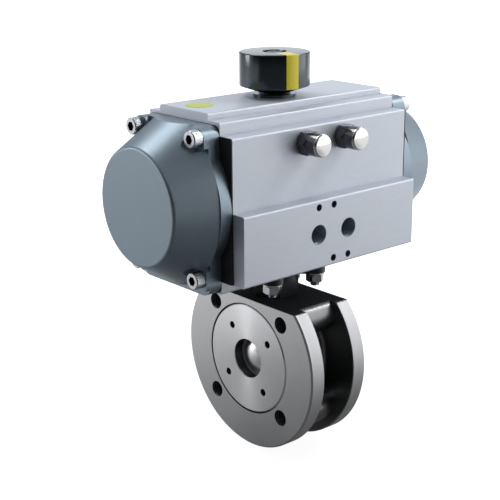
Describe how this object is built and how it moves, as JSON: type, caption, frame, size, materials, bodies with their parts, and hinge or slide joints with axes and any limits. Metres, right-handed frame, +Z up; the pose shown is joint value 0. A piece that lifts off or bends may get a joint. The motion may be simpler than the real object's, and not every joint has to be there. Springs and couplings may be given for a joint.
{
  "type": "pneumatic ball valve",
  "caption": "Compact flanged ball valve turned a quarter by a spring-return rack and pinion air actuator with an indicator knob on top.",
  "frame": {"origin": "centre of the inlet flange's face on the pipe axis", "axes": "+X along the pipe into the valve, +Z up along the stem, -Y to the side of the air ports"},
  "size_m": [0.2056, 0.1155, 0.245],
  "materials": {
    "black_paint": "glossy black paint, bare machined flange faces",
    "machined_steel": "turned sheen",
    "stainless_steel": "machined",
    "dark_steel": "oiled",
    "zinc_steel": "bright zinc plated",
    "chromed_steel": "polished",
    "spring_steel": "bare",
    "pinion_steel": "nickel plated",
    "polished_ball": "mirror polished",
    "anodised_aluminium": "fine satin silver grey",
    "cast_aluminium": "satin blue grey, fine cast grain",
    "black_rubber": "matt",
    "sealing_plastic": "smooth",
    "acetal": "smooth",
    "black_plastic": "glossy",
    "yellow_plastic": "satin"
  },
  "bodies": {
    "housing": {"valve_body": "black_paint", "body_insert": "machined_steel", "insert_seal": "sealing_plastic", "inlet_seat": "sealing_plastic", "outlet_seat": "sealing_plastic", "stem_thrust_washer": "sealing_plastic", "housing_seal": "sealing_plastic", "stem_housing": "black_paint", "packing_rings": "sealing_plastic", "gland_ring": "stainless_steel", "disc_springs": "stainless_steel", "mount_studs": "dark_steel", "mount_nuts": "dark_steel", "mount_washers": "zinc_steel", "actuator_body": "anodised_aluminium", "end_gasket_left": "black_rubber", "end_gasket_right": "black_rubber", "end_cap_left": "cast_aluminium", "end_cap_right": "cast_aluminium", "cap_screws_left": "zinc_steel", "cap_screws_right": "zinc_steel", "spring_left": "spring_steel", "spring_right": "spring_steel", "stop_screws": "zinc_steel", "stop_lock_nuts": "chromed_steel", "stop_caps": "chromed_steel", "pinion_bush_lower": "acetal", "pinion_bush_upper": "acetal", "pinion_seal_lower": "black_rubber", "pinion_seal_upper": "black_rubber", "pinion_ring": "black_plastic"},
    "rotor": {"ball": "polished_ball", "stem": "stainless_steel", "stem_nut": "stainless_steel", "pinion": "pinion_steel", "pinion_circlip": "spring_steel", "indicator_knob": "black_plastic", "indicator_marker": "yellow_plastic", "indicator_screw": "dark_steel"},
    "left_piston": {"piston_left": "cast_aluminium", "piston_band_left": "acetal", "piston_seal_left": "black_rubber", "rack_shoe_left": "acetal"},
    "right_piston": {"piston_right": "cast_aluminium", "piston_band_right": "acetal", "piston_seal_right": "black_rubber", "rack_shoe_right": "acetal"}
  },
  "joints": [
    {"name": "pinion_turn", "type": "hinge", "parent": "housing", "child": "rotor", "pos_m": [0.0225, 0, 0.1104], "axis": [0, 0, 1], "range_deg": [0, 90], "stiffness_Nm_per_rad": 4, "springref_deg": -57.3},
    {"name": "piston_left_slide", "type": "slide", "parent": "housing", "child": "left_piston", "axis": [-1, 0, 0], "range_m": [0, 0.022], "deforming": ["spring_left"]},
    {"name": "piston_right_slide", "type": "slide", "parent": "housing", "child": "right_piston", "axis": [1, 0, 0], "range_m": [0, 0.022], "deforming": ["spring_right"]}
  ],
  "couplings": [
    {"joint": "piston_left_slide", "follows": "pinion_turn", "m_per_rad": 0.014},
    {"joint": "piston_right_slide", "follows": "pinion_turn", "m_per_rad": 0.014}
  ]
}
